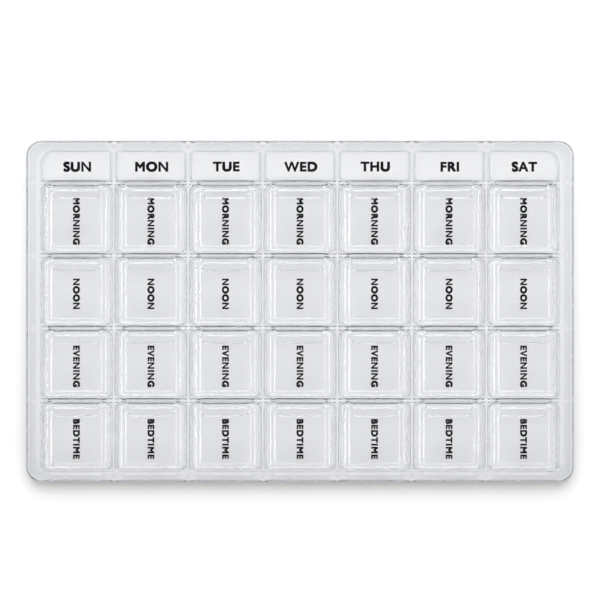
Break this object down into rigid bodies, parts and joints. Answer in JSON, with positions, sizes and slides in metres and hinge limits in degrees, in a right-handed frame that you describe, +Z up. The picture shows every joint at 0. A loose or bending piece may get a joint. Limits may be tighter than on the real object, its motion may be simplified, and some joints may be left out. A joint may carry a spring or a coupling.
{
  "type": "weekly pill organizer",
  "caption": "Flat clear plastic pill organizer: a low case of square cups in day columns and time rows, each cup under its own hinged lid, with a row of label pads.",
  "frame": {"origin": "middle of the footprint, on the surface the organizer stands on", "axes": "+X from the Sunday column to the Saturday column, +Y towards the row of day labels, +Z up"},
  "size_m": [0.222, 0.1386, 0.025],
  "materials": {
    "clear_case": "gloss",
    "clear_lid": "gloss"
  },
  "bodies": {
    "case": {"case": "clear_case"},
    "sunday_morning_lid": {"sunday_morning_lid": "clear_lid"},
    "sunday_noon_lid": {"sunday_noon_lid": "clear_lid"},
    "sunday_evening_lid": {"sunday_evening_lid": "clear_lid"},
    "sunday_bedtime_lid": {"sunday_bedtime_lid": "clear_lid"},
    "monday_morning_lid": {"monday_morning_lid": "clear_lid"},
    "monday_noon_lid": {"monday_noon_lid": "clear_lid"},
    "monday_evening_lid": {"monday_evening_lid": "clear_lid"},
    "monday_bedtime_lid": {"monday_bedtime_lid": "clear_lid"},
    "tuesday_morning_lid": {"tuesday_morning_lid": "clear_lid"},
    "tuesday_noon_lid": {"tuesday_noon_lid": "clear_lid"},
    "tuesday_evening_lid": {"tuesday_evening_lid": "clear_lid"},
    "tuesday_bedtime_lid": {"tuesday_bedtime_lid": "clear_lid"},
    "wednesday_morning_lid": {"wednesday_morning_lid": "clear_lid"},
    "wednesday_noon_lid": {"wednesday_noon_lid": "clear_lid"},
    "wednesday_evening_lid": {"wednesday_evening_lid": "clear_lid"},
    "wednesday_bedtime_lid": {"wednesday_bedtime_lid": "clear_lid"},
    "thursday_morning_lid": {"thursday_morning_lid": "clear_lid"},
    "thursday_noon_lid": {"thursday_noon_lid": "clear_lid"},
    "thursday_evening_lid": {"thursday_evening_lid": "clear_lid"},
    "thursday_bedtime_lid": {"thursday_bedtime_lid": "clear_lid"},
    "friday_morning_lid": {"friday_morning_lid": "clear_lid"},
    "friday_noon_lid": {"friday_noon_lid": "clear_lid"},
    "friday_evening_lid": {"friday_evening_lid": "clear_lid"},
    "friday_bedtime_lid": {"friday_bedtime_lid": "clear_lid"},
    "saturday_morning_lid": {"saturday_morning_lid": "clear_lid"},
    "saturday_noon_lid": {"saturday_noon_lid": "clear_lid"},
    "saturday_evening_lid": {"saturday_evening_lid": "clear_lid"},
    "saturday_bedtime_lid": {"saturday_bedtime_lid": "clear_lid"}
  },
  "joints": [
    {"name": "sunday_morning_hinge", "type": "hinge", "parent": "case", "child": "sunday_morning_lid", "pos_m": [-0.0903, 0.0518, 0.0238], "axis": [-1, 0, 0], "range_deg": [0, 105]},
    {"name": "sunday_noon_hinge", "type": "hinge", "parent": "case", "child": "sunday_noon_lid", "pos_m": [-0.0903, 0.0225, 0.0238], "axis": [-1, 0, 0], "range_deg": [0, 105]},
    {"name": "sunday_evening_hinge", "type": "hinge", "parent": "case", "child": "sunday_evening_lid", "pos_m": [-0.0903, -0.0068, 0.0238], "axis": [-1, 0, 0], "range_deg": [0, 105]},
    {"name": "sunday_bedtime_hinge", "type": "hinge", "parent": "case", "child": "sunday_bedtime_lid", "pos_m": [-0.0903, -0.0361, 0.0238], "axis": [-1, 0, 0], "range_deg": [0, 105]},
    {"name": "monday_morning_hinge", "type": "hinge", "parent": "case", "child": "monday_morning_lid", "pos_m": [-0.0602, 0.0518, 0.0238], "axis": [-1, 0, 0], "range_deg": [0, 105]},
    {"name": "monday_noon_hinge", "type": "hinge", "parent": "case", "child": "monday_noon_lid", "pos_m": [-0.0602, 0.0225, 0.0238], "axis": [-1, 0, 0], "range_deg": [0, 105]},
    {"name": "monday_evening_hinge", "type": "hinge", "parent": "case", "child": "monday_evening_lid", "pos_m": [-0.0602, -0.0068, 0.0238], "axis": [-1, 0, 0], "range_deg": [0, 105]},
    {"name": "monday_bedtime_hinge", "type": "hinge", "parent": "case", "child": "monday_bedtime_lid", "pos_m": [-0.0602, -0.0361, 0.0238], "axis": [-1, 0, 0], "range_deg": [0, 105]},
    {"name": "tuesday_morning_hinge", "type": "hinge", "parent": "case", "child": "tuesday_morning_lid", "pos_m": [-0.0301, 0.0518, 0.0238], "axis": [-1, 0, 0], "range_deg": [0, 105]},
    {"name": "tuesday_noon_hinge", "type": "hinge", "parent": "case", "child": "tuesday_noon_lid", "pos_m": [-0.0301, 0.0225, 0.0238], "axis": [-1, 0, 0], "range_deg": [0, 105]},
    {"name": "tuesday_evening_hinge", "type": "hinge", "parent": "case", "child": "tuesday_evening_lid", "pos_m": [-0.0301, -0.0068, 0.0238], "axis": [-1, 0, 0], "range_deg": [0, 105]},
    {"name": "tuesday_bedtime_hinge", "type": "hinge", "parent": "case", "child": "tuesday_bedtime_lid", "pos_m": [-0.0301, -0.0361, 0.0238], "axis": [-1, 0, 0], "range_deg": [0, 105]},
    {"name": "wednesday_morning_hinge", "type": "hinge", "parent": "case", "child": "wednesday_morning_lid", "pos_m": [0, 0.0518, 0.0238], "axis": [-1, 0, 0], "range_deg": [0, 105]},
    {"name": "wednesday_noon_hinge", "type": "hinge", "parent": "case", "child": "wednesday_noon_lid", "pos_m": [0, 0.0225, 0.0238], "axis": [-1, 0, 0], "range_deg": [0, 105]},
    {"name": "wednesday_evening_hinge", "type": "hinge", "parent": "case", "child": "wednesday_evening_lid", "pos_m": [0, -0.0068, 0.0238], "axis": [-1, 0, 0], "range_deg": [0, 105]},
    {"name": "wednesday_bedtime_hinge", "type": "hinge", "parent": "case", "child": "wednesday_bedtime_lid", "pos_m": [0, -0.0361, 0.0238], "axis": [-1, 0, 0], "range_deg": [0, 105]},
    {"name": "thursday_morning_hinge", "type": "hinge", "parent": "case", "child": "thursday_morning_lid", "pos_m": [0.0301, 0.0518, 0.0238], "axis": [-1, 0, 0], "range_deg": [0, 105]},
    {"name": "thursday_noon_hinge", "type": "hinge", "parent": "case", "child": "thursday_noon_lid", "pos_m": [0.0301, 0.0225, 0.0238], "axis": [-1, 0, 0], "range_deg": [0, 105]},
    {"name": "thursday_evening_hinge", "type": "hinge", "parent": "case", "child": "thursday_evening_lid", "pos_m": [0.0301, -0.0068, 0.0238], "axis": [-1, 0, 0], "range_deg": [0, 105]},
    {"name": "thursday_bedtime_hinge", "type": "hinge", "parent": "case", "child": "thursday_bedtime_lid", "pos_m": [0.0301, -0.0361, 0.0238], "axis": [-1, 0, 0], "range_deg": [0, 105]},
    {"name": "friday_morning_hinge", "type": "hinge", "parent": "case", "child": "friday_morning_lid", "pos_m": [0.0602, 0.0518, 0.0238], "axis": [-1, 0, 0], "range_deg": [0, 105]},
    {"name": "friday_noon_hinge", "type": "hinge", "parent": "case", "child": "friday_noon_lid", "pos_m": [0.0602, 0.0225, 0.0238], "axis": [-1, 0, 0], "range_deg": [0, 105]},
    {"name": "friday_evening_hinge", "type": "hinge", "parent": "case", "child": "friday_evening_lid", "pos_m": [0.0602, -0.0068, 0.0238], "axis": [-1, 0, 0], "range_deg": [0, 105]},
    {"name": "friday_bedtime_hinge", "type": "hinge", "parent": "case", "child": "friday_bedtime_lid", "pos_m": [0.0602, -0.0361, 0.0238], "axis": [-1, 0, 0], "range_deg": [0, 105]},
    {"name": "saturday_morning_hinge", "type": "hinge", "parent": "case", "child": "saturday_morning_lid", "pos_m": [0.0903, 0.0518, 0.0238], "axis": [-1, 0, 0], "range_deg": [0, 105]},
    {"name": "saturday_noon_hinge", "type": "hinge", "parent": "case", "child": "saturday_noon_lid", "pos_m": [0.0903, 0.0225, 0.0238], "axis": [-1, 0, 0], "range_deg": [0, 105]},
    {"name": "saturday_evening_hinge", "type": "hinge", "parent": "case", "child": "saturday_evening_lid", "pos_m": [0.0903, -0.0068, 0.0238], "axis": [-1, 0, 0], "range_deg": [0, 105]},
    {"name": "saturday_bedtime_hinge", "type": "hinge", "parent": "case", "child": "saturday_bedtime_lid", "pos_m": [0.0903, -0.0361, 0.0238], "axis": [-1, 0, 0], "range_deg": [0, 105]}
  ]
}
